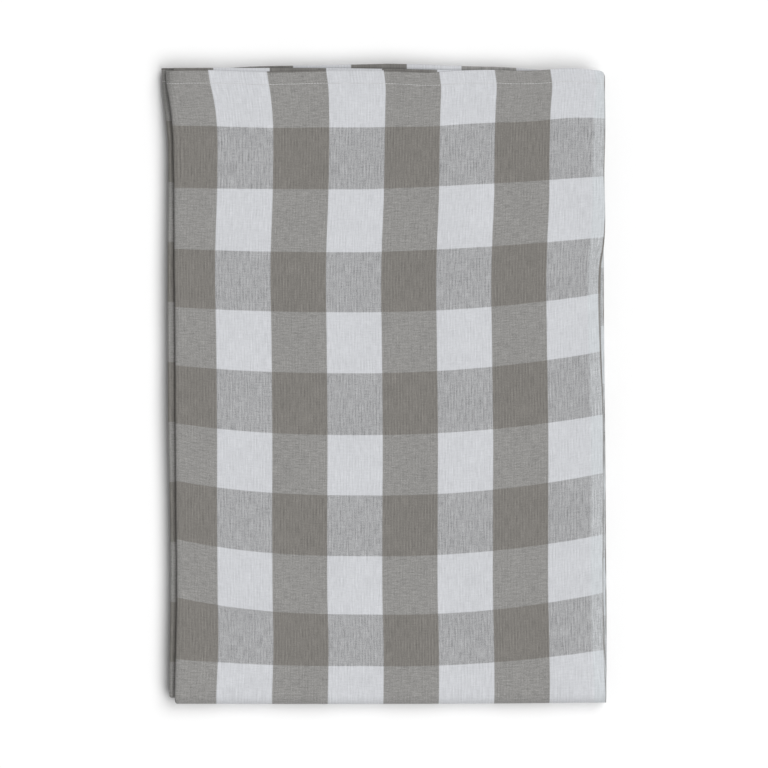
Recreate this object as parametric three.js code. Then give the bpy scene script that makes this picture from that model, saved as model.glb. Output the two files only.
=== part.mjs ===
// Folded check tablecloth: one woven sheet, folded in four across its width and then in four along its length,
// which makes sixteen layers. Millimetres, +Z up, +X towards the selvedges, +Y towards the hems.
import * as THREE from 'three';

// The sheet and the pile of layers that it makes
const SHEET = 1.0; // thickness of the cloth
const GAP = 0.3; // clear space between two layers
const LAYER = SHEET + GAP; // height from one layer to the next
const STRIP = 4 * SHEET + 3 * GAP; // the four layers of the strip that the first fold makes
const PACK = STRIP + GAP; // height from one pack of four layers to the next

// The folds hold the layers apart, so the pile swells towards the foot and the left by these shares of its height
const FOOT_SWELL = 0.06;
const LEFT_SWELL = 0.04;
const PILE = { left: -193, width: 387, foot: -278, length: 557 };

// A fold in four, in section. Flat quarters are joined by half-round turns. The low end of the axis is the fold
// side and the high end the open side. Heights and radii count layers, face is 1 where the right side of the
// cloth is up in a quarter or outside in a turn, and edge names the columns of the tables below that hold the
// open side. The last two columns are the steps across the cloth and along it.
const SECTIONS = [
  { kind: 'flat', level: 3, face: 1, start: 'open', edge: 'first', across: 6, along: 12 },
  { kind: 'turn', side: 'fold', middle: 1.5, radius: 1.5, rise: -1, face: 1, edge: 'turn', across: 4, along: 6 },
  { kind: 'flat', level: 0, face: -1, start: 'fold', edge: 'turn', across: 6, along: 6 },
  { kind: 'turn', side: 'open', middle: 0.5, radius: 0.5, rise: 1, face: 1, edge: 'turn', across: 3, along: 4 },
  { kind: 'flat', level: 1, face: 1, start: 'open', edge: 'turn', across: 6, along: 6 },
  { kind: 'turn', side: 'fold', middle: 1.5, radius: 0.5, rise: 1, face: -1, edge: 'turn', across: 4, along: 6 },
  { kind: 'flat', level: 2, face: -1, start: 'fold', edge: 'last', across: 6, along: 10 },
];

// How the side edges wander along the cloth. Quarter 0 is the first hem, 1 the outer fold at the foot, 2 the fold
// at the head, 3 the inner fold at the foot and 4 the second hem. fold is the left edge, first and last are the
// two selvedges and turn is the fold between them, on the right.
const SIDE_EDGES = [
  { quarter: 0.0, fold: -190.5, first: 191.2, turn: 189.0, last: 189.0 },
  { quarter: 0.08, fold: -184.6, first: 191.2, turn: 189.0, last: 189.5 },
  { quarter: 0.15, fold: -183.0, first: 190.8, turn: 189.0, last: 189.5 },
  { quarter: 0.3, fold: -182.0, first: 188.2, turn: 189.5, last: 191.0 },
  { quarter: 0.48, fold: -181.3, first: 188.4, turn: 189.5, last: 191.0 },
  { quarter: 0.6, fold: -181.2, first: 191.0, turn: 189.5, last: 190.0 },
  { quarter: 0.84, fold: -179.7, first: 190.6, turn: 190.5, last: 192.6 },
  { quarter: 1.0, fold: -183.1, first: 192.2, turn: 190.5, last: 193.5 },
  { quarter: 1.5, fold: -184.5, first: 190.0, turn: 189.5, last: 190.5 },
  { quarter: 2.0, fold: -188.0, first: 189.5, turn: 189.0, last: 189.5 },
  { quarter: 2.5, fold: -185.5, first: 189.0, turn: 190.0, last: 189.5 },
  { quarter: 3.0, fold: -187.2, first: 190.5, turn: 191.0, last: 190.5 },
  { quarter: 3.17, fold: -185.4, first: 190.5, turn: 190.5, last: 190.5 },
  { quarter: 3.5, fold: -187.9, first: 189.5, turn: 190.0, last: 189.0 },
  { quarter: 3.8, fold: -189.0, first: 189.0, turn: 189.5, last: 189.5 },
  { quarter: 4.0, fold: -193.5, first: 188.5, turn: 188.5, last: 188.5 },
];

// How the two hems wander across the cloth. Quarter 0 is the first selvedge, 1 the outer fold on the left, 2 the
// fold on the right, 3 the inner fold on the left and 4 the second selvedge.
const HEM_EDGES = [
  { quarter: 0.0, first: 271.6, last: 270.5 },
  { quarter: 0.12, first: 273.7, last: 271.5 },
  { quarter: 0.33, first: 273.7, last: 272.5 },
  { quarter: 0.4, first: 271.4, last: 273.0 },
  { quarter: 0.55, first: 273.2, last: 273.5 },
  { quarter: 0.78, first: 272.0, last: 274.0 },
  { quarter: 1.0, first: 272.4, last: 274.8 },
  { quarter: 1.2, first: 276.7, last: 273.5 },
  { quarter: 1.5, first: 278.6, last: 273.0 },
  { quarter: 1.75, first: 275.2, last: 273.0 },
  { quarter: 2.0, first: 272.0, last: 271.0 },
  { quarter: 2.5, first: 277.4, last: 273.0 },
  { quarter: 3.0, first: 274.6, last: 274.5 },
  { quarter: 3.5, first: 273.8, last: 273.0 },
  { quarter: 4.0, first: 270.6, last: 271.0 },
];

// How the folds at the foot and at the head wander from the left fold, at share 0, to the selvedges, at share 1.
// The layers of a fold lie inside each other, so they share these lines.
const FOLD_LINES = [
  { share: 0.0, fold: -277.8, turn: 274.0 },
  { share: 0.4, fold: -278.0, turn: 274.6 },
  { share: 0.7, fold: -277.7, turn: 275.0 },
  { share: 1.0, fold: -276.8, turn: 273.6 },
];

// A smooth reading of a table between its rows, whose first column says where each row lies
function smoothTable(rows) {
  const [station, ...columns] = Object.keys(rows[0]);
  const values = rows.flatMap((row) => columns.map((name) => row[name]));
  const curve = new THREE.CubicInterpolant(rows.map((row) => row[station]), values, columns.length);
  return (place) => {
    const found = curve.evaluate(place);
    return Object.fromEntries(columns.map((name, index) => [name, found[index]]));
  };
}

const sideEdges = smoothTable(SIDE_EDGES);
const hemEdges = smoothTable(HEM_EDGES);
const foldLines = smoothTable(FOLD_LINES);

// How far a quarter is from the left folds, which are at 1 and 3, as a share of the width
const shareFromLeft = (quarter) => Math.abs(1 - (quarter % 2));

// The grid lines in one direction of the cloth, each with its section, its share of it and its quarter
function gridLines(direction) {
  const lines = [];
  let quarter = 0;
  for (const section of SECTIONS) {
    const steps = section[direction];
    const span = section.kind === 'flat' ? 1 : 0;
    for (let step = 0; step < steps; step += 1) {
      lines.push({ section, share: step / steps, quarter: quarter + (span * step) / steps });
    }
    quarter += span;
  }
  lines.push({ section: SECTIONS.at(-1), share: 1, quarter });
  return lines;
}

// Where a point lands in the section of a fold in four. lift is its height over the middle of what is folded,
// pitch the height between its layers and half its half thickness.
function foldInFour(line, lift, pitch, half, edges) {
  const { section, share } = line;
  const ends = { fold: edges.fold + 1.5 * pitch + half, open: edges[section.edge] };
  if (section.edge === 'turn') ends.open -= 0.5 * pitch + half;
  if (section.kind === 'flat') {
    const finish = section.start === 'open' ? 'fold' : 'open';
    return {
      run: THREE.MathUtils.lerp(ends[section.start], ends[finish], share),
      height: section.level * pitch + section.face * lift,
    };
  }
  const radius = section.radius * pitch + section.face * lift;
  const outward = section.side === 'fold' ? -1 : 1;
  return {
    run: ends[section.side] + outward * radius * Math.sin(Math.PI * share),
    height: section.middle * pitch - section.rise * radius * Math.cos(Math.PI * share),
  };
}

// How many times its flat height the pile has at a place
function swell(x, y) {
  const fromRight = 1 - (x - PILE.left) / PILE.width;
  const fromHead = 1 - (y - PILE.foot) / PILE.length;
  return 1 + LEFT_SWELL * fromRight ** 2 + FOOT_SWELL * fromHead ** 2;
}

// A point of the cloth's right side (face 1) or back (face -1), after both folds
function foldedPoint(acrossLine, alongLine, face) {
  const across = foldInFour(acrossLine, (face * SHEET) / 2, LAYER, SHEET / 2, sideEdges(alongLine.quarter));
  const lift = across.height - 1.5 * LAYER;
  const ends = { ...hemEdges(acrossLine.quarter), ...foldLines(shareFromLeft(acrossLine.quarter)) };
  const along = foldInFour(alongLine, lift, PACK, STRIP / 2, ends);
  const height = along.height + STRIP / 2;
  return [across.run, along.run, height * swell(across.run, along.run)];
}

// The closed sheet: its right side, its back and the rim between them
function foldedSheet() {
  const acrossLines = gridLines('across');
  const alongLines = gridLines('along');
  const columns = acrossLines.length;
  const rows = alongLines.length;
  const positions = [];
  for (const face of [1, -1]) {
    for (const alongLine of alongLines) {
      for (const acrossLine of acrossLines) positions.push(...foldedPoint(acrossLine, alongLine, face));
    }
  }

  const triangles = [];
  const addQuad = (a, b, c, d) => triangles.push(a, b, c, a, c, d);
  const right = (column, row) => row * columns + column;
  const back = (column, row) => rows * columns + right(column, row);
  for (let row = 0; row < rows - 1; row += 1) {
    for (let column = 0; column < columns - 1; column += 1) {
      addQuad(right(column, row), right(column + 1, row), right(column + 1, row + 1), right(column, row + 1));
      addQuad(back(column, row), back(column, row + 1), back(column + 1, row + 1), back(column + 1, row));
    }
  }
  for (let column = 0; column < columns - 1; column += 1) {
    addQuad(back(column, 0), back(column + 1, 0), right(column + 1, 0), right(column, 0));
    const end = rows - 1;
    addQuad(right(column, end), right(column + 1, end), back(column + 1, end), back(column, end));
  }
  for (let row = 0; row < rows - 1; row += 1) {
    addQuad(right(0, row), right(0, row + 1), back(0, row + 1), back(0, row));
    const end = columns - 1;
    addQuad(back(end, row), back(end, row + 1), right(end, row + 1), right(end, row));
  }

  const geometry = new THREE.BufferGeometry();
  geometry.setAttribute('position', new THREE.Float32BufferAttribute(positions, 3));
  geometry.setIndex(triangles);
  return geometry;
}

// The origin goes to the middle of the pile's underside
function centreOnBase(geometry) {
  geometry.computeBoundingBox();
  const middle = geometry.boundingBox.getCenter(new THREE.Vector3());
  geometry.translate(-middle.x, -middle.y, -geometry.boundingBox.min.z);
  geometry.computeVertexNormals();
  return geometry;
}

const cotton = new THREE.MeshStandardMaterial({ color: 0xa9a8a5, roughness: 0.92, metalness: 0 });
const tablecloth = new THREE.Mesh(centreOnBase(foldedSheet()), cotton);
tablecloth.name = 'tablecloth';

const part = new THREE.Group();
part.add(tablecloth);

export default part;
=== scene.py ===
import math
from collections import namedtuple

import bpy
import numpy as np
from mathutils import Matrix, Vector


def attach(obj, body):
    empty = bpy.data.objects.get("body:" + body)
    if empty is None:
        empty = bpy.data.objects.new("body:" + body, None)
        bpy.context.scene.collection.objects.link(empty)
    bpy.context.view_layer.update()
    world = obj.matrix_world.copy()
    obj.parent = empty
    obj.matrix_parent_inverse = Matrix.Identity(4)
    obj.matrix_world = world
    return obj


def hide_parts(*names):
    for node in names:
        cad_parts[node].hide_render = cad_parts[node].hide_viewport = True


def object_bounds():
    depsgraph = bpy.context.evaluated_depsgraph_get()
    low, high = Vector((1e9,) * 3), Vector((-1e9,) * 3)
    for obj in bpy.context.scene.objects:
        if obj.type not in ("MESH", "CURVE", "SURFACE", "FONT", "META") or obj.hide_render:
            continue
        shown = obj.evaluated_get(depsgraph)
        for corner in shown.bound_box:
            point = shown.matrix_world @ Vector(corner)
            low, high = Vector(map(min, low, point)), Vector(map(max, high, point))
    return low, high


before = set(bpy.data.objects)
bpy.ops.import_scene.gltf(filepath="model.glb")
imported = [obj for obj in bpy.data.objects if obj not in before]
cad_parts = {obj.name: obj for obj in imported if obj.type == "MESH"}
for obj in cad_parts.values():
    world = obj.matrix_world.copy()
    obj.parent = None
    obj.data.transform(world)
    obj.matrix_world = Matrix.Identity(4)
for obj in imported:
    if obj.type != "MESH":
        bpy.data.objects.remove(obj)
cad_low, cad_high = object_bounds()

MM = 0.001

# The cloth and the pile of layers that it makes
CLOTH = 0.40  # thickness of the woven cloth
ROOM = 1.0  # height that one layer takes, loosely folded
GAP = 0.3  # clear space between two layers
PITCH = ROOM + GAP  # height from one layer to the next
STRIP = 4 * ROOM + 3 * GAP  # the four layers of the strip that the first fold makes
STRIP_MIDDLE = 1.5 * PITCH  # from the lowest layer of the strip to its middle
PACK = STRIP + GAP  # height from one strip to the next

# The turns of a fold in four, by their radii in layers: a wide one round two tight ones
WIDE_TURN = 1.5
TIGHT_TURN = 0.5

# The turned hem, sewn with a lock stitch
HEM_RADIUS = 0.21
HEM_FLAP = 12.0
SEAM = 11.0  # from the hem's edge to its sewing
STITCH_PITCH = 2.4
STITCH_LENGTH = 1.95
THREAD_RADIUS = 0.19
CORNER = 4.2  # radius at which the hems meet the selvedges

# The check: one column of warp stripes and one row of weft stripes
COLUMN = 48.0
EDGE_COLUMN = 47.7  # the white column at each selvedge
SELVEDGE = 10.5
ROW = 53.2

# A flat quarter of the cloth between two folds
QUARTER_WIDTH = 369.3
QUARTER_LENGTH = 540.0
TURN_RADII = WIDE_TURN + 2 * TIGHT_TURN
ALL_WIDTH = 4 * QUARTER_WIDTH + math.pi * TURN_RADII * PITCH
ALL_LENGTH = 4 * QUARTER_LENGTH + math.pi * TURN_RADII * PACK

# How far into a quarter a wandering edge moves the cloth, as a share of the quarter, and the quarter
# whose edges are those of a straight pile
ACROSS_REACH = {"open": 0.06, "fold": 0.5}
ALONG_REACH = {"open": 0.2, "fold": 0.2}
REST_QUARTER = 0.6

# The pile swells towards its folds, by these shares of its height
FOOT_SWELL = 0.06
LEFT_SWELL = 0.04
PILE_LEFT, PILE_WIDTH = -193.0, 387.0
PILE_FOOT, PILE_LENGTH = -278.0, 557.0

# At the head the left edge hangs over the layers below and sinks by a share of its height
SAG = 0.42
SAG_START, SAG_REACH = -184.0, 11.0  # across the pile
SAG_FOOT, SAG_LENGTH = 120.0, 150.0  # along the pile

# A fold in four, in section, like that of the solid: flat quarters joined by half-round turns. Levels,
# middles and radii count layers. face is 1 where the right side of the cloth is up in a quarter or
# outside in a turn. start and side say on which side a quarter starts or a turn lies: the fold side is the
# low end of the axis and the open side the high end. edge and bend name the columns of the tables below
# that hold the open side and the fold side. rise is 1 for a turn that leads up to the next quarter and -1
# for one that leads down. across and along are the steps of the mesh in the two directions.
Flat = namedtuple("Flat", "level face start edge bend across along")
Turn = namedtuple("Turn", "side edge bend middle radius rise face across along")
SECTIONS = [
    Flat(3, 1, start="open", edge="first", bend="outer", across=84, along=118),
    Turn("fold", "turn", "outer", middle=1.5, radius=WIDE_TURN, rise=-1, face=1, across=8, along=14),
    Flat(0, -1, start="fold", edge="turn", bend="outer", across=16, along=34),
    Turn("open", "turn", "outer", middle=0.5, radius=TIGHT_TURN, rise=1, face=1, across=6, along=8),
    Flat(1, 1, start="open", edge="turn", bend="inner", across=16, along=24),
    Turn("fold", "turn", "inner", middle=1.5, radius=TIGHT_TURN, rise=1, face=-1, across=6, along=10),
    Flat(2, -1, start="fold", edge="last", bend="inner", across=16, along=24),
]

# Finer mesh lines beside an edge, by their distance from it, and the lines of a turned hem
EDGE_LINES = [0.0, 0.7, 2.0, 4.0, 6.5, 8.4, 10.0, 11.0, 12.0, 13.6, 16.5, 21.0]
HEM_TURN_STEPS = 6
FLAP_LINES = [4.0, 8.5, HEM_FLAP]
SHARP_ANGLE = 50.0  # degrees between faces that meet in a sharp edge


def table(columns, rows):
    """A table as one array for each named column; the first column says where the rows lie."""
    return dict(zip(columns.split(), np.array(rows).T))


# How the side edges wander along the cloth. Quarter 0 is the first hem, 1 the outer fold at the foot, 2
# the fold at the head, 3 the inner fold at the foot and 4 the second hem. outer and inner are the two
# folds on the left, first and last the two selvedges and turn the fold between them, on the right.
SIDE_EDGES = table("quarter outer inner first turn last", [
    (0.000, -189.6, -184.0, 191.9, 188.5, 188.8),
    (0.020, -188.9, -183.5, 192.0, 188.5, 188.9),
    (0.040, -187.0, -183.0, 192.0, 188.5, 189.0),
    (0.065, -184.9, -182.6, 192.3, 188.5, 189.2),
    (0.100, -183.3, -182.4, 192.3, 188.5, 189.2),
    (0.150, -182.6, -182.2, 191.6, 188.5, 189.2),
    (0.290, -182.0, -182.0, 190.5, 188.0, 188.6),
    (0.308, -182.0, -182.0, 189.0, 187.0, 187.6),
    (0.335, -181.8, -181.8, 188.4, 186.8, 187.4),
    (0.420, -181.3, -181.3, 188.4, 186.8, 187.4),
    (0.560, -181.0, -181.0, 190.8, 188.6, 189.4),
    (0.700, -180.5, -180.5, 190.8, 188.6, 189.6),
    (0.840, -179.8, -179.8, 190.6, 187.4, 188.2),
    (0.930, -180.6, -180.6, 191.2, 187.6, 188.4),
    (0.965, -181.1, -181.1, 192.0, 188.0, 191.0),
    (1.000, -181.6, -181.6, 193.2, 189.0, 192.6),
    (1.100, -181.6, -181.6, 190.0, 187.6, 188.8),
    (1.500, -185.5, -185.5, 187.0, 186.0, 187.0),
    (2.000, -187.5, -187.5, 191.0, 188.8, 189.2),
    (2.250, -187.0, -187.0, 191.2, 188.6, 189.2),
    (2.420, -186.8, -186.8, 191.6, 188.6, 189.2),
    (2.600, -186.6, -186.6, 192.6, 189.0, 189.6),
    (2.750, -185.6, -185.6, 193.2, 189.4, 190.0),
    (3.000, -186.6, -186.6, 193.5, 190.0, 190.6),
    (3.200, -185.5, -185.5, 190.0, 188.6, 189.6),
    (3.450, -187.7, -187.7, 187.5, 186.6, 187.5),
    (3.720, -188.0, -188.0, 187.0, 186.0, 187.0),
    (3.860, -187.6, -187.6, 188.0, 187.4, 188.0),
    (3.900, -188.1, -188.1, 188.4, 188.0, 188.4),
    (3.925, -190.0, -190.0, 188.5, 188.6, 188.6),
    (3.950, -191.8, -191.8, 188.6, 188.8, 188.8),
    (4.000, -193.5, -193.5, 188.5, 188.5, 188.5),
])

# How the two hems wander across the cloth. Quarter 0 is the first selvedge, 1 the outer fold on the left,
# 2 the fold on the right, 3 the inner fold on the left and 4 the second selvedge.
HEM_EDGES = table("quarter first last", [
    (0.00, 271.6, 268.5),
    (0.04, 273.5, 270.0),
    (0.09, 274.3, 271.0),
    (0.14, 272.8, 271.6),
    (0.20, 272.1, 271.9),
    (0.26, 272.8, 272.2),
    (0.33, 272.4, 272.5),
    (0.40, 270.8, 273.0),
    (0.51, 272.4, 273.4),
    (0.65, 272.6, 273.7),
    (0.78, 271.5, 274.0),
    (0.92, 272.8, 274.5),
    (1.00, 272.4, 274.8),
    (1.20, 276.0, 273.5),
    (1.41, 277.5, 273.0),
    (1.50, 278.4, 273.0),
    (1.66, 276.4, 273.0),
    (1.80, 274.9, 272.5),
    (1.87, 272.6, 271.5),
    (2.00, 269.0, 269.0),
    (2.50, 273.0, 273.0),
    (3.00, 274.6, 274.5),
    (3.50, 273.8, 273.0),
    (4.00, 268.8, 269.0),
])

# How the folds at the foot and at the head wander, from share 0 at the left fold to 1 at the selvedges
FOLD_LINES = table("share fold turn", [
    (0.0, -277.8, 273.0),
    (0.4, -278.0, 273.5),
    (0.7, -277.7, 272.8),
    (1.0, -276.8, 269.5),
])

# The weft does not lie straight. Where the lowest place of each row of the check lies below the hem, and
# how far the row rises from there to the left fold, to halfway towards the selvedges and to the selvedges.
ROWS = table("start left half right", [
    (0.0, 1.0, 2.0, 5.0),
    (49.2, 1.7, 3.8, 8.6),
    (102.9, 1.3, 4.7, 11.4),
    (157.6, 3.0, 4.8, 13.2),
    (209.7, 4.5, 4.4, 16.6),
    (262.7, 6.8, 5.2, 19.2),
    (316.4, 10.2, 4.6, 18.0),
    (368.7, 12.4, 4.3, 19.5),
    (421.5, 14.4, 4.0, 18.9),
    (472.1, 14.4, 3.4, 18.7),
    (516.5, 5.8, 2.4, 13.3),
    (545.0, 0.0, 0.0, 0.0),
])
FIRST_ROWS = 10  # rows of the table that end at a colour change
BOW_MIDDLE = 0.445  # where the rows are lowest, as a share of the width from the left fold
BOW_POWER = 2.5  # how late the rows rise towards the left fold
BOW_ROUNDS = 4  # times that the lowest place of a row is worked out anew

# The rows in the last quarter, counted from the second hem, and the rows of the whole cloth
LAST_ROWS = 9
LAST_ROW = 52.1
LAST_EDGE_ROW = 44.5
ALL_ROWS = 43

HEM_ROW = 0.02  # keeps the turned hems in the first and the last row

# How far the columns of the top layer stray to the right, near the left fold and near the selvedge, and
# over which share of the quarter this ends before the left fold
STRAY_FADE = 0.03
STRAY = table("along left right", [
    (0.0, 0.4, 1.5),
    (11.0, 1.5, 3.1),
    (34.0, 2.8, 1.5),
    (69.0, 2.7, 0.4),
    (113.0, 1.4, 0.2),
    (147.0, 0.2, -1.4),
    (182.0, -0.3, -2.4),
    (234.0, 0.2, -1.8),
    (321.0, 0.5, -0.5),
    (391.0, 0.0, -0.6),
    (461.0, 0.1, -0.5),
    (495.0, 1.2, 0.2),
    (545.0, 0.3, 0.9),
    (570.0, 0.0, 0.0),
])

# Soft creases of the top layer: from one place to another, with a half width and a height in millimetres
Crease = namedtuple("Crease", "x1 y1 x2 y2 width height")
CREASES = [
    Crease(142, 113, 187, 81, 6.0, -0.45),
    Crease(166, 101, 190, 107, 3.5, 0.40),
    Crease(150, -262, 192, -268, 6.0, 0.50),
    Crease(183, 265, 189, 271, 3.5, -0.70),
    Crease(-182, 262, -160, 225, 8.0, -0.40),
    Crease(-120, 270, -112, 236, 5.0, 0.25),
    Crease(60, 271, 66, 240, 5.0, 0.22),
    Crease(-40, -262, -30, -225, 9.0, -0.25),
]


def smooth(share):
    """0 below 0 and 1 above 1, with a soft rise between."""
    share = np.clip(share, 0.0, 1.0)
    return share * share * (3.0 - 2.0 * share)


def read_smoothly(rows, place):
    """The columns of a table at any place between its rows, on a smooth curve through them."""
    names = list(rows)
    station = rows[names[0]]
    index = np.clip(np.searchsorted(station, place, side="right") - 1, 0, len(station) - 2)
    step = station[index + 1] - station[index]
    t = (place - station[index]) / step
    found = {}
    for name in names[1:]:
        value = rows[name]
        slope = np.gradient(value, station)
        found[name] = (
            (1 + 2 * t) * (1 - t) ** 2 * value[index]
            + t * (1 - t) ** 2 * step * slope[index]
            + t**2 * (3 - 2 * t) * value[index + 1]
            + t**2 * (t - 1) * step * slope[index + 1]
        )
    return found


def share_from_left(quarter):
    """How far a quarter is from the left folds, which are at 1 and 3, as a share of the width."""
    return np.abs(1 - np.mod(quarter, 2))


# One line of the mesh: its section and share of it, its quarter, how far it lies along the unfolded
# cloth, and for a hem its turning angle and how far it runs back under the cloth
Line = namedtuple("Line", "section share quarter length angle back", defaults=(0.0, 0.0))


def even_shares(steps):
    """Shares at equal steps from 0, without the 1 at which the next section starts."""
    return list(np.linspace(0.0, 1.0, steps, endpoint=False))


def flat_shares(section, steps, length):
    """The shares of a flat quarter at which it has mesh lines, with finer ones beside an open edge."""
    if section.edge == "turn":
        return even_shares(steps)
    near = [line / length for line in EDGE_LINES]
    shares = near + list(np.linspace(near[-1], 1.0, steps + 1)[1:])
    if section.start == "open":
        return shares[:-1]
    return [1.0 - share for share in reversed(shares)][:-1]


def mesh_lines(direction, flat_length, pitch):
    """All mesh lines in one direction of the cloth, from the first open edge to the last."""
    lines = []
    quarter = 0
    start = 0.0
    for section in SECTIONS:
        steps = getattr(section, direction)
        if isinstance(section, Flat):
            span = 1
            length = flat_length
            shares = flat_shares(section, steps, length)
        else:
            span = 0
            length = math.pi * section.radius * pitch
            shares = even_shares(steps)
        for share in shares:
            lines.append(Line(section, share, quarter + share * span, start + share * length))
        quarter += span
        start += length
    lines.append(Line(SECTIONS[-1], 1.0, quarter, start))
    return lines


def hem_lines(edge_line, inward):
    """The lines of a hem, from the edge of the cloth to the end of the flap that is turned under. inward is
    1 where the quarters rise from this edge and -1 where they fall."""
    lines = []
    for step in range(1, HEM_TURN_STEPS + 1):
        lines.append(edge_line._replace(angle=math.pi * step / HEM_TURN_STEPS))
    for back in FLAP_LINES:
        quarter = edge_line.quarter + inward * back / QUARTER_LENGTH
        lines.append(edge_line._replace(quarter=quarter, angle=math.pi, back=back))
    return lines


def fold_in_four(lines, lift, pitch, half, edges, rest, reach):
    """Where the lines land in the section of a fold. lift is the height over the middle of what is folded,
    half its half thickness, edges where the sides are, rest where they would be on a straight pile, and
    reach how far a wandering side moves the cloth."""
    run = np.empty_like(lift)
    height = np.empty_like(lift)
    for index, line in enumerate(lines):
        section = line.section
        fold_inset = WIDE_TURN * pitch + half
        open_inset = TIGHT_TURN * pitch + half if section.edge == "turn" else 0.0
        ends = {"fold": edges[section.bend] + fold_inset, "open": edges[section.edge] - open_inset}
        straight = {"fold": rest[section.bend] + fold_inset, "open": rest[section.edge] - open_inset}
        if isinstance(section, Flat):
            open_share = line.share if section.start == "open" else 1.0 - line.share
            run[index] = straight["open"] + open_share * (straight["fold"] - straight["open"])
            for side, away in (("open", open_share), ("fold", 1.0 - open_share)):
                run[index] += (ends[side] - straight[side]) * (1.0 - smooth(away / reach[side]))
            height[index] = section.level * pitch + section.face * lift[index]
        else:
            radius = section.radius * pitch + section.face * lift[index]
            outward = -1 if section.side == "fold" else 1
            run[index] = ends[section.side] + outward * radius * math.sin(math.pi * line.share)
            height[index] = section.middle * pitch - section.rise * radius * math.cos(math.pi * line.share)
    return run, height


def from_edge(length, whole):
    """How far a place on the unfolded cloth is from the nearer of two open edges."""
    return np.minimum(length, whole - length)


def corner_shift(from_selvedge, from_hem):
    """How far a point moves in from the selvedge and from the hem, so that the cloth has round corners."""
    aside = np.maximum(CORNER - from_selvedge, 0.0)
    down = np.maximum(CORNER - from_hem, 0.0)
    past = 1.0 - CORNER / np.maximum(np.hypot(aside, down), CORNER)
    return aside * past, down * past


def swell(x, y):
    """How many times its flat height the pile has at a place."""
    from_right = 1 - (x - PILE_LEFT) / PILE_WIDTH
    from_head = 1 - (y - PILE_FOOT) / PILE_LENGTH
    sag = SAG * smooth((SAG_START - x) / SAG_REACH) * smooth((y - SAG_FOOT) / SAG_LENGTH)
    return (1 + LEFT_SWELL * from_right**2 + FOOT_SWELL * from_head**2) * (1 - sag)


def folded(across_lines, along_lines, offset):
    """The points of the cloth after both folds, as x, y and z arrays with a row for each line along the
    cloth. offset is the height over the middle of the cloth, one value or one for each point."""
    angle = np.array([[line.angle] for line in along_lines])
    back = np.array([[line.back] for line in along_lines])
    offset = np.broadcast_to(offset, (len(along_lines), len(across_lines)))
    lift = -HEM_RADIUS + (HEM_RADIUS + offset) * np.cos(angle)
    beyond = (HEM_RADIUS + offset) * np.sin(angle) - back
    lift = np.where(angle > 0, lift, offset)
    beyond = np.where(angle > 0, beyond, 0.0)

    along_quarter = np.array([line.quarter for line in along_lines])
    side = read_smoothly(SIDE_EDGES, along_quarter)
    side_rest = read_smoothly(SIDE_EDGES, np.array(REST_QUARTER))
    x, across_height = fold_in_four(across_lines, lift.T, PITCH, ROOM / 2, side, side_rest, ACROSS_REACH)

    across_quarter = np.array([line.quarter for line in across_lines])
    ends = read_smoothly(HEM_EDGES, across_quarter)
    ends.update(read_smoothly(FOLD_LINES, share_from_left(across_quarter)))
    ends["outer"] = ends["inner"] = ends["fold"]
    for hem in ("first", "last"):
        ends[hem] = ends[hem] - HEM_RADIUS - CLOTH / 2
    ends_rest = {name: float(np.mean(value)) for name, value in ends.items()}
    strip_lift = across_height.T - STRIP_MIDDLE
    y, height = fold_in_four(along_lines, strip_lift, PACK, STRIP / 2, ends, ends_rest, ALONG_REACH)
    z = (height + STRIP / 2) * swell(x.T, y)
    from_selvedge = from_edge(np.array([line.length for line in across_lines]), ALL_WIDTH)[None, :]
    from_hem = from_edge(np.array([line.length for line in along_lines]), ALL_LENGTH)[:, None]
    inward, down = corner_shift(from_selvedge, from_hem)
    return x.T - inward, y + beyond - down, z


def soft_waves(a, b, wavelengths, height, seed):
    """Low swells with no order: sine waves of the given lengths that run in different directions."""
    draws = np.random.default_rng(seed)
    total = np.zeros_like(a)
    for wavelength in wavelengths:
        direction, phase = draws.uniform(0.0, 2 * math.pi, 2)
        distance = a * math.cos(direction) + b * math.sin(direction)
        total += np.sin(2 * math.pi * distance / wavelength + phase)
    return height * total / len(wavelengths)


def crease_height(crease, x, y):
    """A soft ridge or trough along a straight stretch, fading at its ends."""
    run = np.array([crease.x2 - crease.x1, crease.y2 - crease.y1], dtype=float)
    length = np.hypot(*run)
    run /= length
    along = (x - crease.x1) * run[0] + (y - crease.y1) * run[1]
    aside = (y - crease.y1) * run[0] - (x - crease.x1) * run[1]
    past = np.maximum(0.0, np.abs(along - length / 2) - length / 2)
    return crease.height * np.exp(-(aside**2 + past**2) / crease.width**2)


# The waves of the relief by their lengths, and their heights
PILE_WAVES = [150.0, 110.0, 85.0, 64.0, 47.0]
PILE_HEIGHT = 0.9
LAYER_WAVES = [95.0, 70.0, 52.0, 38.0]
LAYER_HEIGHT = 0.42
PUCKER_WAVES = [21.0, 16.0, 12.5]
PUCKER_HEIGHT = 0.45
PUCKER_REACH = 13.0  # from the seam
PUCKER_STRETCH = 0.2  # how much slower the puckers change away from the seam than along it
HEM_RISE = 0.95
SEAM_DIP = 0.35
SEAM_WIDTH = 1.1
TOP_DEPTH = 2.5  # how deep the relief of the top layer reaches
FIRST_HEM = 60.0  # how far from the hem's edge its relief is worked out


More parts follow.
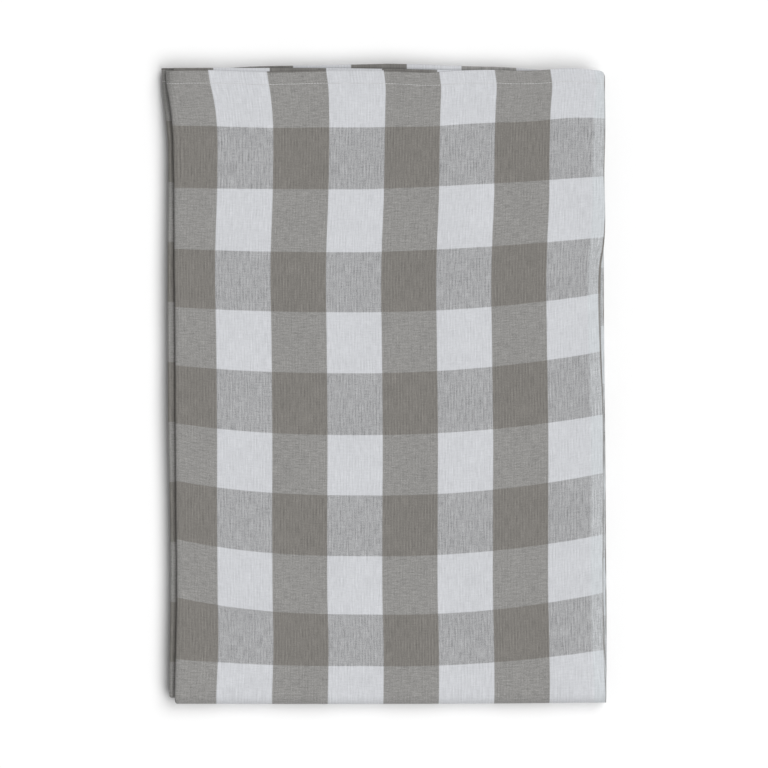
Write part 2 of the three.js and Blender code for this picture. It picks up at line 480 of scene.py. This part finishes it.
def relief(x, y, z, across_at, along_at):
    """Adds the soft unevenness of the cloth to its height: swells of the whole pile, layers that are not
    quite parallel, and the creases, hem and puckers of the top layer."""
    top = z.max()
    depth = top - z
    pile_share = np.clip(z / top, 0.0, 1.0)
    whole = soft_waves(x, y, PILE_WAVES, PILE_HEIGHT, seed=3) * pile_share
    layer = soft_waves(across_at, along_at, LAYER_WAVES, LAYER_HEIGHT, seed=5)
    layer *= smooth(z / (2 * PITCH)) * smooth(along_at / FIRST_HEM)
    upper = np.zeros_like(x)
    for crease in CREASES:
        upper += crease_height(crease, x, y)
    seam_away = np.abs(along_at - SEAM)
    hem = HEM_RISE * (1.0 - smooth((along_at - SEAM) / HEM_FLAP))
    hem -= SEAM_DIP * np.exp(-((seam_away / SEAM_WIDTH) ** 2))
    pucker = soft_waves(across_at, along_at * PUCKER_STRETCH, PUCKER_WAVES, PUCKER_HEIGHT, seed=11)
    pucker *= np.exp(-((seam_away / PUCKER_REACH) ** 2))
    upper += (hem + pucker) * (along_at < FIRST_HEM)
    return z + whole + layer + upper * np.exp(-depth / TOP_DEPTH)


def row_number(share_left, along_at):
    """Which row of the check a place is in, counted from the first hem. The rows of the top layer bow up
    towards both sides, and those between them and the last quarter's rows are evenly spread."""
    aside = share_left - BOW_MIDDLE
    left = np.clip(-aside / BOW_MIDDLE, 0.0, 1.0)
    right = np.clip(aside / (1.0 - BOW_MIDDLE), 0.0, 1.0)
    middle = along_at
    for _ in range(BOW_ROUNDS):
        bow = read_smoothly(ROWS, np.clip(middle, 0.0, ROWS["start"][-1]))
        rise = left**BOW_POWER * bow["left"]
        rise += 4 * right * (1 - right) * bow["half"] + right * (2 * right - 1) * bow["right"]
        middle = along_at + rise
    second_rows = ALL_LENGTH - LAST_EDGE_ROW - np.array([LAST_ROWS * LAST_ROW, 0.0, -LAST_EDGE_ROW])
    starts = np.concatenate([ROWS["start"][: FIRST_ROWS + 1], second_rows])
    numbers = np.concatenate([np.arange(FIRST_ROWS + 1), ALL_ROWS - 1 - np.array([LAST_ROWS, 0, -1])])
    return np.interp(middle, starts, numbers)


def columns_stray(share_left, quarter, along_at):
    """How far the columns of the top layer lie to the right of their straight place."""
    found = read_smoothly(STRAY, np.clip(along_at, 0.0, STRAY["along"][-1]))
    stray = found["left"] + share_left * (found["right"] - found["left"])
    return stray * smooth((1.0 - quarter) / STRAY_FADE)


def unfolded_lengths(across_lines, along_lines):
    """For each point of the grid, how far it lies across the unfolded cloth and along it."""
    return np.meshgrid([line.length for line in across_lines], [line.length for line in along_lines])


def check_coordinates(across_lines, along_lines):
    across_at, along_at = unfolded_lengths(across_lines, along_lines)
    quarter = np.array([[line.quarter for line in across_lines]])
    share_left = share_from_left(quarter)
    column = (across_at + columns_stray(share_left, quarter, along_at) - EDGE_COLUMN) / COLUMN
    row = row_number(share_left, along_at)
    return column, np.clip(row, HEM_ROW, ALL_ROWS - HEM_ROW)


def grid_faces(rows, columns):
    """The quads of a closed sheet: its right side, its back, and the rim between them."""
    point = np.arange(rows * columns).reshape(rows, columns)
    behind = point + rows * columns
    quads = [
        np.stack([point[:-1, :-1], point[:-1, 1:], point[1:, 1:], point[1:, :-1]], axis=-1),
        np.stack([behind[:-1, :-1], behind[1:, :-1], behind[1:, 1:], behind[:-1, 1:]], axis=-1),
    ]
    for edge, other in ((point[0], behind[0]), (behind[-1], point[-1])):
        quads.append(np.stack([other[:-1], other[1:], edge[1:], edge[:-1]], axis=-1))
    for edge, other in ((behind[:, 0], point[:, 0]), (point[:, -1], behind[:, -1])):
        quads.append(np.stack([other[:-1], other[1:], edge[1:], edge[:-1]], axis=-1))
    return np.concatenate([quad.reshape(-1, 4) for quad in quads])


def add_object(name, data):
    """A new object in the scene, for a mesh, a lamp or a camera."""
    made = bpy.data.objects.new(name, data)
    bpy.context.collection.objects.link(made)
    return made


def mesh_object(name, points, faces, material):
    """A smooth-shaded mesh object in metres from points in millimetres."""
    mesh = bpy.data.meshes.new(name)
    mesh.from_pydata((points * MM).tolist(), [], faces)
    mesh.materials.append(material)
    mesh.shade_smooth()
    return add_object(name, mesh)


def cloth_lines():
    """The mesh lines across the cloth and along it, with the two turned hems."""
    across = mesh_lines("across", QUARTER_WIDTH, PITCH)
    along = mesh_lines("along", QUARTER_LENGTH, PACK)
    first_hem = list(reversed(hem_lines(along[0], inward=1)))
    return across, first_hem + along + hem_lines(along[-1], inward=-1)


def placed(x, y, z, fit):
    """Points on the frame: centred on the solid, standing on the floor and as high as the solid."""
    return np.stack([x + fit["x"], y + fit["y"], (z - fit["floor"]) * fit["stretch"]], axis=-1)


def store_on_cloth(mesh, name, first, second):
    """Keeps two values for each point of the grid, the same on both sides of the cloth, as a UV map."""
    per_point = np.stack([np.tile(first.ravel(), 2), np.tile(second.ravel(), 2)], axis=-1)
    corner = np.empty(len(mesh.loops), dtype=np.int32)
    mesh.loops.foreach_get("vertex_index", corner)
    layer = mesh.uv_layers.new(name=name)
    layer.data.foreach_set("uv", per_point[corner].astype(np.float32).ravel())


def make_cloth(material):
    """The cloth itself, one closed sheet on the folds of the solid."""
    across, along = cloth_lines()
    across_at, along_at = unfolded_lengths(across, along)
    sides = []
    for face in (1, -1):
        x, y, z = folded(across, along, face * CLOTH / 2)
        sides.append((x, y, relief(x, y, z, across_at, along_at)))
    x, y, z = (np.stack([side[axis] for side in sides]) for axis in range(3))
    height = cad_high.z / MM
    fit = {
        "x": (cad_low.x + cad_high.x) / 2 / MM - (x.min() + x.max()) / 2,
        "y": (cad_low.y + cad_high.y) / 2 / MM - (y.min() + y.max()) / 2,
        "floor": z.min(),
        "stretch": height / (z.max() - z.min()),
    }
    points = placed(x, y, z, fit).reshape(-1, 3)
    faces = grid_faces(len(along), len(across)).tolist()
    made = mesh_object("folded_cloth", points, faces, material)
    made.data.set_sharp_from_angle(angle=math.radians(SHARP_ANGLE))
    store_on_cloth(made.data, "check", *check_coordinates(across, along))
    store_on_cloth(made.data, "unfolded", from_edge(across_at, ALL_WIDTH), along_at)
    return made, fit


# The noise of the materials: how far its values are drawn apart, and how rough its finer features are
NOISE_SPREAD = 3.2
NOISE_ROUGHNESS = 0.55


class Graph:
    """A short way to add shader nodes. Inputs are numbers, colours or the outputs of other nodes."""

    def __init__(self, name):
        self.material = bpy.data.materials.new(name)
        self.material.use_nodes = True
        self.tree = self.material.node_tree
        self.shader = self.tree.nodes["Principled BSDF"]

    def feed(self, socket, value):
        """Links a socket to another node's output, or sets it to a fixed value."""
        if isinstance(value, bpy.types.NodeSocket):
            self.tree.links.new(value, socket)
        else:
            socket.default_value = value

    def add(self, kind, inputs, **settings):
        node = self.tree.nodes.new(kind)
        for name, value in settings.items():
            setattr(node, name, value)
        for key, value in inputs.items():
            self.feed(node.inputs[key], value)
        return node

    def math(self, operation, *values):
        return self.add("ShaderNodeMath", dict(enumerate(values)), operation=operation).outputs[0]

    def rise(self, value, low, high):
        """0 below low and 1 above high, or the other way round where low is the larger."""
        inputs = {"Value": value, "From Min": low, "From Max": high}
        return self.add("ShaderNodeMapRange", inputs, clamp=True).outputs[0]

    def mix(self, share, first, second):
        inputs = {0: share, 6: first, 7: second}
        return self.add("ShaderNodeMix", inputs, data_type="RGBA").outputs[2]

    def vector(self, x, y):
        return self.add("ShaderNodeCombineXYZ", {0: x, 1: y}).outputs[0]

    def noise(self, vector, detail):
        """Noise around 0, about -1 to 1, with one feature in each unit of the vector."""
        inputs = {"Vector": vector, "Scale": 1.0, "Detail": detail, "Roughness": NOISE_ROUGHNESS}
        found = self.add("ShaderNodeTexNoise", inputs).outputs["Fac"]
        return self.math("MULTIPLY_ADD", found, NOISE_SPREAD, -NOISE_SPREAD / 2)

    def set(self, **values):
        """Feeds the inputs of the shader by their names, with _ for a space."""
        for name, value in values.items():
            self.feed(self.shader.inputs[name.replace("_", " ")], value)


def grey(value):
    """A colour without a hue, from 0 for black to 1 for white."""
    return (value, value, value, 1.0)


# What shows where two yarns cross: both white, only the warp taupe, only the weft taupe, both taupe
WHITE = (0.524, 0.533, 0.555, 1.0)
TAUPE_WARP = (0.245, 0.241, 0.233, 1.0)
TAUPE_WEFT = (0.323, 0.325, 0.331, 1.0)
TAUPE = (0.179, 0.170, 0.157, 1.0)

# At the selvedges the warp is closer. The change is a share of a column.
SELVEDGE_WHITE = (0.525, 0.548, 0.568, 1.0)
SELVEDGE_WEFT = (0.41, 0.42, 0.43, 1.0)
SELVEDGE_CHANGE = 0.02

# Where a hem turns, the warp covers the weft, up to this share of a row
TURN_WHITE = (0.485, 0.493, 0.513, 1.0)
TURN_TAUPE = (0.150, 0.145, 0.137, 1.0)
TURN_ROW = 0.026

# Painted shade: in places the outermost yarns of the selvedge, round which the weft turns, are painted
# darker for the shadow along the cloth's edge
EDGE_SHADE = (0.200, 0.195, 0.186, 1.0)
EDGE_SHADE_WIDTH = 0.7
EDGE_SHADE_END = 0.98
EDGE_SHADE_SIZE = (30.0, 26.0)  # of the places, across and along the cloth
EDGE_SHADE_NOISE = (-0.6, 0.5)  # from where on in the noise they start to show, and show fully

# How strongly the same four crossings show uneven warp, the reed's marks, uneven weft, the grain of the
# yarns and the weave itself
WARP_STREAKS = (0.10, 0.11, 0.26, 0.18)
REED_MARKS = (0.05, 0.06, 0.12, 0.13)
WEFT_STREAKS = (0.06, 0.20, 0.13, 0.08)
GRAIN = (0.06, 0.24, 0.19, 0.18)
YARN_CONTRAST = (0.03, -0.20, 0.20, 0.05)

# The sizes of these patterns, across and along the cloth, and a faint shade over all
STREAK_SIZE = (1.0, 12.0)
BAR_SIZE = (8.0, 1.05)
GRAIN_SIZE = (1.0, 1.1)
REED_PITCH = 2.6
REED_PATCH_SIZE = (9.0, 14.0)
REED_PATCH_NOISE = (-0.6, 0.6)
SHADE_SIZE = (70.0, 24.0)
SHADE = 0.03

# The stripes and the threads of the weave
SOFT_EDGE = 0.006  # of a stripe, as a share of a column or row
WARP_THREADS = 100  # in a column
WEFT_THREADS = 104  # in a row
MIDDLE_COLUMN = 14.5  # halfway across the unfolded cloth
SELVEDGE_COLUMN = MIDDLE_COLUMN + (EDGE_COLUMN - SELVEDGE) / COLUMN

# The relief of the weave and how rough it is
STREAK_BUMP = 0.35
BUMP_STRENGTH = 0.35
BUMP_DEPTH = 0.12
COTTON_ROUGHNESS = 0.94
YARN_GLOSS = 0.08  # how much less rough the middle of a yarn is


def crossing(graph, warp, weft, choices):
    """One of four choices, by the yarns that cross: both white, taupe warp, taupe weft, both taupe."""
    white_row = graph.mix(warp, choices[0], choices[1])
    taupe_row = graph.mix(warp, choices[2], choices[3])
    return graph.mix(weft, white_row, taupe_row)


def uneven(graph, place, size, detail=1.0):
    """Noise with features of a size in millimetres, across and along the cloth."""
    column, row = place
    across, along = size
    stretched = graph.vector(
        graph.math("MULTIPLY", column, COLUMN / across),
        graph.math("MULTIPLY", row, ROW / along),
    )
    return graph.noise(stretched, detail)


def stripes(graph, place):
    """Whether the warp and the weft are taupe at a place: 0 or 1, with a soft change between."""
    column, row = place
    column_wave = graph.math("PINGPONG", graph.math("SUBTRACT", column, 0.5), 1.0)
    row_wave = graph.math("PINGPONG", graph.math("SUBTRACT", row, 0.5), 1.0)
    warp = graph.rise(column_wave, 0.5 + SOFT_EDGE, 0.5 - SOFT_EDGE)
    weft = graph.rise(row_wave, 0.5 - SOFT_EDGE, 0.5 + SOFT_EDGE)
    return warp, weft


def painted_edge_shade(graph, place):
    """How much the painted shade on the outermost yarns of a selvedge shows."""
    unfolded = graph.add("ShaderNodeUVMap", {}, uv_map="unfolded").outputs[0]
    from_selvedge = graph.add("ShaderNodeSeparateXYZ", {0: unfolded}).outputs[0]
    at_edge = graph.rise(from_selvedge, EDGE_SHADE_END, EDGE_SHADE_WIDTH)
    in_places = graph.rise(uneven(graph, place, EDGE_SHADE_SIZE), *EDGE_SHADE_NOISE)
    return graph.math("MULTIPLY", at_edge, in_places)


def yarn_colour(graph, place, warp, weft):
    """The colour of the crossing yarns, also at the selvedges and where a hem turns, with painted shade
    along the edges of the selvedges.
    """
    column, row = place
    from_middle = graph.math("ABSOLUTE", graph.math("SUBTRACT", column, MIDDLE_COLUMN))
    change = (SELVEDGE_COLUMN - SELVEDGE_CHANGE, SELVEDGE_COLUMN + SELVEDGE_CHANGE)
    at_selvedge = graph.rise(from_middle, *change)
    from_hem = graph.math("MINIMUM", row, graph.math("SUBTRACT", ALL_ROWS, row))
    at_turn = graph.rise(from_hem, TURN_ROW, HEM_ROW)
    white = graph.mix(at_turn, graph.mix(at_selvedge, WHITE, SELVEDGE_WHITE), TURN_WHITE)
    taupe_warp = graph.mix(at_turn, TAUPE_WARP, TURN_TAUPE)
    taupe_weft = graph.mix(at_selvedge, TAUPE_WEFT, SELVEDGE_WEFT)
    crossed = crossing(graph, warp, weft, (white, taupe_warp, taupe_weft, TAUPE))
    # darkens the edges of the selvedges with painted shade, for the shadow along the cloth's edge
    return graph.mix(painted_edge_shade(graph, place), crossed, EDGE_SHADE)


def plain_weave(graph, place):
    """Whether the warp lies over the weft, 0 or 1, and the round height of the yarn on top."""
    rounds = []
    threads = []
    for at, count in zip(place, (WARP_THREADS, WEFT_THREADS)):
        thread = graph.math("MULTIPLY", at, count)
        threads.append(graph.math("FLOOR", thread))
        wave = graph.math("SINE", graph.math("MULTIPLY", thread, math.pi))
        rounds.append(graph.math("ABSOLUTE", wave))
    warp_on_top = graph.math("PINGPONG", graph.math("ADD", *threads), 1.0)
    warp_round, weft_round = rounds
    return warp_on_top, graph.mix(warp_on_top, weft_round, warp_round)


def yarn_tone(graph, place, warp, weft, streaks, warp_on_top):
    """How much lighter or darker the yarns are than their colour, which is at 1."""
    reed_wave = graph.math("COSINE", graph.math("MULTIPLY", place[0], 2 * math.pi * COLUMN / REED_PITCH))
    in_patches = graph.rise(uneven(graph, place, REED_PATCH_SIZE), *REED_PATCH_NOISE)
    patterns = [
        (streaks, WARP_STREAKS),
        (graph.math("MULTIPLY", reed_wave, in_patches), REED_MARKS),
        (uneven(graph, place, BAR_SIZE), WEFT_STREAKS),
        (uneven(graph, place, GRAIN_SIZE), GRAIN),
        (graph.math("MULTIPLY_ADD", warp_on_top, 2.0, -1.0), YARN_CONTRAST),
    ]
    tone = graph.math("MULTIPLY", uneven(graph, place, SHADE_SIZE, detail=2.0), SHADE)
    for pattern, amounts in patterns:
        amount = crossing(graph, warp, weft, [grey(value) for value in amounts])
        tone = graph.math("MULTIPLY_ADD", amount, pattern, tone)
    return graph.math("ADD", tone, 1.0)


def check_cotton():
    """Yarn-dyed cotton: warp and weft stripes that cross, plain weave, uneven yarns and a soft sheen."""
    graph = Graph("check_cotton")
    check = graph.add("ShaderNodeUVMap", {}, uv_map="check").outputs[0]
    parted = graph.add("ShaderNodeSeparateXYZ", {0: check})
    place = (parted.outputs[0], parted.outputs[1])
    warp, weft = stripes(graph, place)
    warp_on_top, weave = plain_weave(graph, place)
    streaks = uneven(graph, place, STREAK_SIZE)
    colour = yarn_colour(graph, place, warp, weft)
    tone = yarn_tone(graph, place, warp, weft, streaks, warp_on_top)
    toned = graph.add("ShaderNodeVectorMath", {0: colour, 1: tone}, operation="MULTIPLY").outputs[0]
    surface = graph.math("MULTIPLY_ADD", streaks, STREAK_BUMP, weave)
    relief_inputs = {"Strength": BUMP_STRENGTH, "Distance": BUMP_DEPTH * MM, "Height": surface}
    graph.set(
        Base_Color=toned,
        Roughness=graph.math("MULTIPLY_ADD", weave, -YARN_GLOSS, COTTON_ROUGHNESS),
        Normal=graph.add("ShaderNodeBump", relief_inputs).outputs[0],
        Sheen_Weight=0.12,
        Sheen_Roughness=0.5,
        Specular_IOR_Level=0.2,
    )
    return graph.material


# The sewing thread, with a fine twist
TWIST = (900.0, 5200.0, 5200.0)  # features in a metre, along the seam and across it
THREAD_DARK = (0.55, 0.55, 0.54, 1.0)
THREAD_LIGHT = (0.72, 0.72, 0.72, 1.0)
TWIST_BUMP = 0.3
TWIST_DEPTH = 0.05
THREAD_ROUGHNESS = 0.8
THREAD_GLOSS = 0.1


def sewing_thread():
    """White cotton thread with a faint twist."""
    graph = Graph("sewing_thread")
    place = graph.add("ShaderNodeTexCoord", {}).outputs["Object"]
    stretched = graph.add("ShaderNodeVectorMath", {0: place, 1: TWIST}, operation="MULTIPLY")
    twist = graph.noise(stretched.outputs[0], 1.0)
    share = graph.rise(twist, -1.0, 1.0)
    relief_inputs = {"Strength": TWIST_BUMP, "Distance": TWIST_DEPTH * MM, "Height": twist}
    graph.set(
        Base_Color=graph.mix(share, THREAD_DARK, THREAD_LIGHT),
        Roughness=graph.math("MULTIPLY_ADD", share, -THREAD_GLOSS, THREAD_ROUGHNESS),
        Normal=graph.add("ShaderNodeBump", relief_inputs).outputs[0],
        Sheen_Weight=0.1,
    )
    return graph.material


FLOOR_GREYS = (grey(0.845), grey(0.86))


def studio_floor():
    """Plain pale floor with a hardly visible unevenness."""
    graph = Graph("studio_floor")
    place = graph.add("ShaderNodeTexCoord", {}).outputs["Object"]
    share = graph.rise(graph.noise(place, 2.0), -1.0, 1.0)
    graph.set(Base_Color=graph.mix(share, *FLOOR_GREYS), Roughness=0.9, Specular_IOR_Level=0.1)
    return graph.material


# A stitch as a tube of rings: how far it bends up and how deep it starts, in radii of the thread
STITCH_RINGS = 5
STITCH_SIDES = 6
STITCH_BEND = 1.3
STITCH_DEPTH = 0.9
UP_STEP = 0.1  # by which the upward direction is found


def line_at(lines, length):
    """The line at any length along the unfolded cloth, between the mesh lines."""
    lengths = [line.length for line in lines]
    index = min(max(int(np.searchsorted(lengths, length, side="right")) - 1, 0), len(lines) - 2)
    before, after = lines[index], lines[index + 1]
    t = (length - before.length) / (after.length - before.length)
    end_share = after.share if after.section is before.section else 1.0
    share = before.share + t * (end_share - before.share)
    quarter = before.quarter + t * (after.quarter - before.quarter)
    return Line(before.section, share, quarter, length)


def stitch_tubes(across, along, seam_length, fit):
    """The points of the stitches of one seam: short tubes of thread that come up through the cloth, lie on
    it and go down again."""
    count = int(across[-1].length / STITCH_PITCH) - 1
    ring_at = np.linspace(-0.5, 0.5, STITCH_RINGS)
    stitch_at = (np.arange(count) + 1.5) * STITCH_PITCH
    lengths = (stitch_at[:, None] + ring_at * STITCH_LENGTH).ravel()
    ring_lines = [line_at(across, length) for length in lengths]
    seam = [line_at(along, seam_length)]
    arch = np.tile(1.0 - (2 * ring_at) ** 2, count)[None, :]
    offset = CLOTH / 2 + THREAD_RADIUS * (STITCH_BEND * arch - STITCH_DEPTH)
    across_at = lengths[None, :]
    along_at = np.full_like(across_at, seam_length)
    middles = []
    for step in (0.0, UP_STEP):
        x, y, z = folded(ring_lines, seam, offset + step)
        points = placed(x, y, relief(x, y, z, across_at, along_at), fit)
        middles.append(points.reshape(count, STITCH_RINGS, 3))
    middle, above = middles
    up = above - middle
    up /= np.linalg.norm(up, axis=-1, keepdims=True)
    forward = np.gradient(middle, axis=1)
    aside = np.cross(forward, up)
    aside /= np.linalg.norm(aside, axis=-1, keepdims=True)
    rings = []
    for side in range(STITCH_SIDES):
        turn = 2 * math.pi * side / STITCH_SIDES
        rings.append(middle + THREAD_RADIUS * (math.cos(turn) * up + math.sin(turn) * aside))
    return np.stack(rings, axis=2)


def tube_faces(first, rings, sides):
    """The faces of one closed tube whose points start at first."""
    faces = []
    for ring in range(rings - 1):
        for side in range(sides):
            after = (side + 1) % sides
            low, high = first + ring * sides, first + (ring + 1) * sides
            faces.append([low + side, low + after, high + after, high + side])
    last = first + (rings - 1) * sides
    faces.append([first + side for side in reversed(range(sides))])
    faces.append([last + side for side in range(sides)])
    return faces


def make_stitches(material, fit):
    """The sewing of both hems, as one joined mesh."""
    across = mesh_lines("across", QUARTER_WIDTH, PITCH)
    along = mesh_lines("along", QUARTER_LENGTH, PACK)
    seams = [stitch_tubes(across, along, at, fit) for at in (SEAM, along[-1].length - SEAM)]
    tubes = np.concatenate(seams)
    size = STITCH_RINGS * STITCH_SIDES
    faces = []
    for index in range(len(tubes)):
        faces += tube_faces(index * size, STITCH_RINGS, STITCH_SIDES)
    return mesh_object("hem_stitches", tubes.reshape(-1, 3), faces, material)


cloth, fit = make_cloth(check_cotton())
stitches = make_stitches(sewing_thread(), fit)
for piece in (cloth, stitches):
    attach(piece, "root")
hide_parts("tablecloth")


# The floor, the light and the camera, in metres
FLOOR_SIZE = 40.0
VIEW_WIDTH = 665.9 * MM  # what the camera sees across, at the top of the pile
LENS = 300.0  # in millimetres, as the sensor
SENSOR = 36.0
CLIP_END = 100.0
KEY_SPREAD = 42.0  # degrees that each lamp spans
KEY_LAMPS = {  # where each lamp shines from, and its power
    "key_foot": ((0.50, -0.42, 1.0), 1.77),
    "key_head": ((0.50, 0.46, 1.0), 1.57),
}
AMBIENT = 0.31


def make_floor():
    """A large flat square under the pile."""
    mesh = bpy.data.meshes.new("floor")
    half = FLOOR_SIZE / 2
    corners = [(-half, -half, 0), (half, -half, 0), (half, half, 0), (-half, half, 0)]
    mesh.from_pydata(corners, [], [(0, 1, 2, 3)])
    mesh.materials.append(studio_floor())
    return add_object("floor", mesh)


def make_light():
    """Two large soft lamps over the selvedge side, and an even light all round."""
    for name, (direction, power) in KEY_LAMPS.items():
        lamp = bpy.data.lights.new(name, "SUN")
        lamp.angle = math.radians(KEY_SPREAD)
        lamp.energy = power
        made = add_object(name, lamp)
        made.location = direction
        made.rotation_euler = (-made.location).to_track_quat("-Z", "Y").to_euler()
    world = bpy.data.worlds.new("studio")
    world.use_nodes = True
    background = world.node_tree.nodes["Background"]
    background.inputs["Color"].default_value = grey(1.0)
    background.inputs["Strength"].default_value = AMBIENT
    bpy.context.scene.world = world


def make_camera():
    """Straight above the pile, from far off."""
    camera = bpy.data.cameras.new("camera")
    camera.lens = LENS
    camera.sensor_width = SENSOR
    camera.clip_end = CLIP_END
    made = add_object("camera", camera)
    made.location = (0.0, 0.0, cad_high.z + VIEW_WIDTH * LENS / SENSOR)
    bpy.context.scene.camera = made


make_floor()
make_light()
make_camera()
bpy.context.scene.view_settings.view_transform = "Standard"
